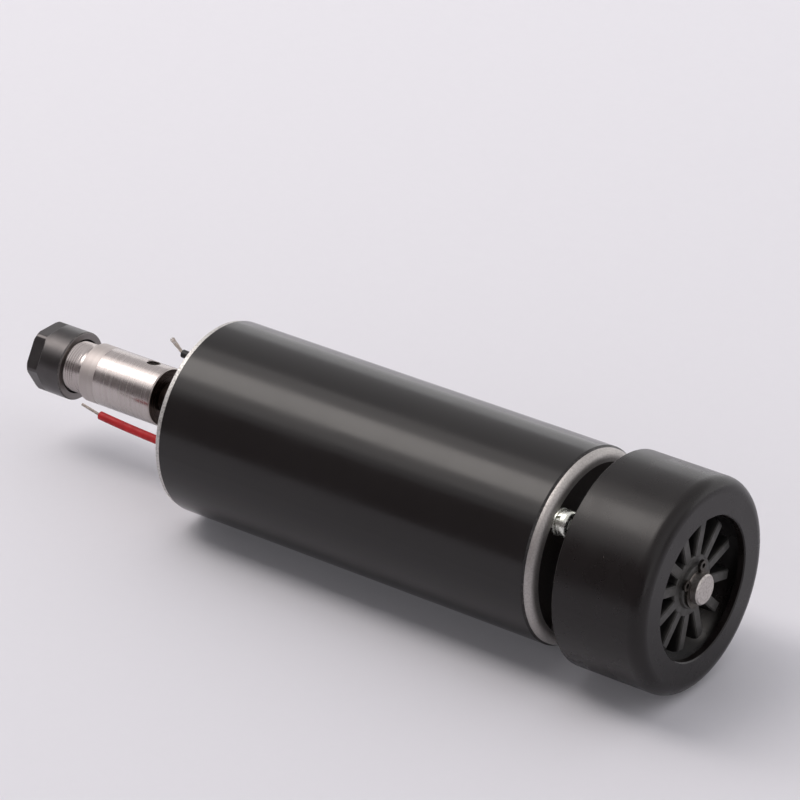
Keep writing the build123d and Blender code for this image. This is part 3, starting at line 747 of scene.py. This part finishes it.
steps = [nut_rear + 0.05 * k for k in range(12)]
steps += [nut_rear + 0.6 + 0.4 * k for k in range(16)]
steps += [nut_front - hex_length - 1.2 + 0.05 * k for k in range(28)]
steps += [nut_front - hex_length + 0.3 + 0.1 * k for k in range(30)]
steps += [nut_front - 0.4 + 0.05 * k for k in range(9)]
steps = sorted(s for s in steps if s <= nut_front)
outline = [(nut_rear, 7.5), (nut_rear, 8.6)] + [(s, nut_radius) for s in steps]
outline += [(nut_front, 8.1)] + break_corners([
    (57.8, 4.75), (55.25, 6.2), (54.6, 6.2), (54.4, 5.2), (53.6, 5.2), (53.6, 7.3),
    (52.4, 7.3), (52.4, 7.0), (47.7, 7.0), (47.3, 7.5)], {0: 0.0})
nut = add_piece("nut", spin(outline, nut_skin, segments=288))
wear(nut, "nut_steel", "nut", "collet_nut")
print("nut:", len(nut.data.polygons), "faces")

# %% [markdown]
# ## Cap bolts and washers
# Two long bolts hold the end caps on the tube. Each has a domed pan head with a cross recess,
# over a split spring washer and a plain one. One is made, and the ring tree sets two.

# %% Make one bolt and its washers, and set them in rings
bolt_outline = break_corners([
    (-122.3, 0), (-122.3, 3.5), (-119.7, 3.5), (-119.7, 1.95), (-3.8, 1.95), (-3.5, 1.6),
    (-3.5, 0)], {1: 1.7, 2: 0.2}, steps=8)
bolt = add_piece("one_bolt", spin(bolt_outline, segments=64))
wings = []
for k in range(2):
    wing = bmesh.new()
    bmesh.ops.create_cone(wing, segments=4, radius1=2.35 * MM, radius2=0.7 * MM,
                          depth=2.1 * MM, cap_ends=True)
    wing.transform(Matrix.Rotation(pi / 4, 4, "Z"))
    wing.transform(Matrix.Diagonal((1, 0.26, 1, 1)))
    wing.transform(Matrix.Translation((-121.55 * MM, 0, 0))
                   @ Matrix.Rotation(pi / 2 * k, 4, "X") @ Matrix.Rotation(pi / 2, 4, "Y"))
    cutter = bpy.data.meshes.new("wing")
    wing.to_mesh(cutter)
    wings.append(bpy.data.objects.new("wing_%d" % k, cutter))
    bpy.context.scene.collection.objects.link(wings[-1])
cut(bolt, *wings)

washer = add_piece("one_washer", spin(break_corners([
    (-118.7, 2.1), (-118.7, 3.6), (-118.0, 3.6), (-118.0, 2.1)], {1: 0.15, 2: 0.1}), segments=64))
split = add_piece("one_split_washer", spin(break_corners([
    (-119.7, 2.1), (-119.7, 3.4), (-118.7, 3.4), (-118.7, 2.1)], {1: 0.12, 2: 0.12}), segments=64))
slit = bmesh.new()
bmesh.ops.create_cube(slit, size=MM)
slit.transform(Matrix.Translation((-119.2 * MM, 2.8 * MM, 0))
               @ Matrix.Rotation(radians(25), 4, "Y") @ Matrix.Diagonal((3, 3, 0.7, 1)))
slit_mesh = bpy.data.meshes.new("slit")
slit.to_mesh(slit_mesh)
slitter = bpy.data.objects.new("slit", slit_mesh)
bpy.context.scene.collection.objects.link(slitter)
cut(split, slitter)

bolt_ring = dict(Count=2, Circle=19.8 * MM, First_angle=radians(45.5),
                 Finish=finishes["zinc_steel"])
for name, one, roll, node in (("cap_bolts", bolt, 1.2, "through_bolts"),
                              ("cap_washers", washer, 0.0, "plain_washers"),
                              ("cap_split_washers", split, 3.0, "spring_washers")):
    many = grow(name, ring_tree, Copy=one, Roll=roll, Seed=5, **bolt_ring)
    wear(many, "zinc_steel", "stator", node)
for one in (bolt, washer, split):
    bpy.data.objects.remove(one)

# %% [markdown]
# ## Cooling fan
# The fan follows a rule: one straight blade, repeated twelve times round a flared hub with a
# thin backplate. Blade and hub are modelled once, and the ring tree makes the wheel.

# %% Build the fan
fan_rear, blade_foot = -148.0, -140.5
hub = spin(break_corners([
    (fan_rear - 0.9, 4.02), (fan_rear - 0.9, 5.7), (fan_rear, 5.9), (fan_rear, 7.9),
    (blade_foot - 2.5, 8.4), (blade_foot - 1.0, 9.2), (blade_foot, 11.0), (blade_foot, 17.9),
    (blade_foot + 1.3, 17.9), (blade_foot + 1.3, 7.5), (blade_foot + 2, 7.0),
    (blade_foot + 2, 4.02)], {1: 0.3, 3: 0.4, 7: 0.3, 8: 0.3}), segments=160)
blade_shape = bmesh.new()
half_back, half_foot, root, rim = 1.3, 1.5, 7.2, 17.5
ends = [(fan_rear, half_back, rim - 0.7), (fan_rear + 1.2, half_back + 0.03, rim),
        (blade_foot + 0.6, half_foot, rim)]
rows = []
for station, half, tip in ends:
    rows.append([blade_shape.verts.new((station * MM, y * MM, z * MM))
                 for y, z in ((root, -half), (tip, -half), (tip, half), (root, half))])
for lower, upper in zip(rows, rows[1:]):
    for k in range(4):
        blade_shape.faces.new([lower[k], lower[(k + 1) % 4], upper[(k + 1) % 4], upper[k]])
blade_shape.faces.new(rows[0])
blade_shape.faces.new(rows[-1])
bmesh.ops.recalc_face_normals(blade_shape, faces=blade_shape.faces)
soft = [e for e in blade_shape.edges if max(v.co.x for v in e.verts) < (blade_foot + 0.5) * MM
        or abs(e.verts[0].co.x - e.verts[1].co.x) > 0.5 * MM]
bmesh.ops.bevel(blade_shape, geom=soft, offset=0.22 * MM, segments=3, affect="EDGES")
blade_mesh = bpy.data.meshes.new("one_blade")
blade_shape.to_mesh(blade_mesh)
one_blade = add_piece("one_blade", blade_mesh)
fan = grow("fan", ring_tree, hub, Copy=one_blade, Count=12, Circle=0.0,
           First_angle=radians(15), Roll=0.0, Finish=finishes["fan_plastic"])
bpy.data.objects.remove(one_blade)
wear(fan, "fan_plastic", "rotor", "cooling_fan")

# %% [markdown]
# ## Studio
# A pale floor, a bright soft light above the nose with a larger, weaker one round it, and a low
# bright panel behind. A grey flag beside the camera is what makes the dark stripe along a
# shiny cylinder, and a shade above it keeps the near floor a little darker.

# %% Lay the floor
def sheet(name, corners, colour):
    mesh = bpy.data.meshes.new(name)
    mesh.from_pydata(corners, [], [tuple(range(len(corners)))])
    card = bpy.data.objects.new(name, mesh)
    bpy.context.scene.collection.objects.link(card)
    paper = Finish(name, colour, roughness=0.7)
    paper.vary_roughness(paper.effect(grain, Size=3.0), 0.65, 0.8)
    mesh.materials.append(paper.material)
    return card


def floor_height(x):
    """The part rests on the front edge of its fan cover and on the front edge of the tube."""
    cover_x, cover_z, tube_x, tube_z, gap = -125.9, -28.1, -1.7, -26.0, 0.03
    rise = (tube_z - cover_z) / (tube_x - cover_x)
    return (cover_z + (x / MM - cover_x) * rise - gap) * MM


sheet("floor", [(x, y, floor_height(x)) for x, y in ((-3, -3), (3, -3), (3, 3), (-3, 3))],
      (0.74, 0.735, 0.78))

flag = sheet("flag", [(-0.6, 0.32, -0.2), (0.6, 0.32, -0.2), (0.6, 0.32, 0.26),
                      (-0.6, 0.32, 0.26)], (0.25, 0.23, 0.23))
for seen in ("camera", "diffuse", "shadow"):
    setattr(flag, "visible_" + seen, False)
shade = sheet("shade", [(-1.5, 0.42, 0.3), (1.5, 0.42, 0.3), (1.5, 0.42, 1.0), (-1.5, 0.42, 1.0)],
              (0.01, 0.01, 0.01))
shade.visible_camera = shade.visible_glossy = False
print("floor, flag and shade in place")

# %% Light it
def soft_light(name, place, aim, size, power, colour):
    data = bpy.data.lights.new(name, "AREA")
    data.shape = "RECTANGLE"
    data.size, data.size_y = size
    data.energy = power
    data.color = colour
    lamp = bpy.data.objects.new(name, data)
    bpy.context.scene.collection.objects.link(lamp)
    toward = (Vector(place) - Vector(aim)).normalized()
    across = (Vector((1, 0, 0)) - toward * toward.x).normalized()
    lamp.matrix_world = Matrix((across, toward.cross(across), toward)).transposed().to_4x4()
    lamp.location = place
    lamp.visible_camera = False
    return lamp


soft_light("overhead", (0.8, 0.33, 1.35), (0.2, 0, 0), (1.1, 0.6), 7.6, (1.0, 0.94, 0.9))
soft_light("diffuser", (0.85, 0.33, 1.45), (0.2, 0, 0), (1.7, 1.6), 9.4, (1.0, 0.95, 0.93))
panel = soft_light("back_panel", (0.2, -0.8, 0.19), (0.2, 0, 0.19), (3.0, 0.42), 4.4,
                   (1.0, 0.99, 1.0))
panel.visible_diffuse = False

sky = bpy.data.worlds.new("studio")
bpy.context.scene.world = sky
sky.use_nodes = True
w = Wiring(sky.node_tree)
direction = w.add("ShaderNodeTexCoord").outputs["Generated"]
facing = w.add("ShaderNodeSeparateXYZ", {0: direction}).outputs


def fading(value, start, end, first, last):
    """A smooth change from first to last as the value goes from start to end."""
    return w.add("ShaderNodeMapRange", {
        "Value": value, "From Min": start, "From Max": end, "To Min": first, "To Max": last},
        interpolation_type="SMOOTHSTEP").outputs[0]


open_side = w.math("MAXIMUM", fading(facing[2], 0.2, 0.45, 0.15, 1.0),
                   fading(facing[1], -0.3, 0.1, 0.0, 1.0))
low_front = w.math("MULTIPLY", fading(facing[1], 0.2, 0.6, 0.0, 0.6),
                   fading(facing[2], 0.1, 0.3, 1.0, 0.0))
glow = w.math("ADD", w.math("ADD", w.math("MULTIPLY", open_side, 0.77), low_front), w.math(
    "ADD", fading(facing[0], -0.9, -0.3, 0.3, 0.0), fading(facing[0], 0.65, 0.95, 0.0, 0.5)))
pale = w.add("ShaderNodeCombineColor", {0: glow, 1: w.math("MULTIPLY", glow, 0.98), 2: glow})
backdrop = sky.node_tree.nodes["Background"]
sky.node_tree.links.new(pale.outputs[0], backdrop.inputs["Color"])
bpy.context.scene.view_settings.view_transform = "Standard"
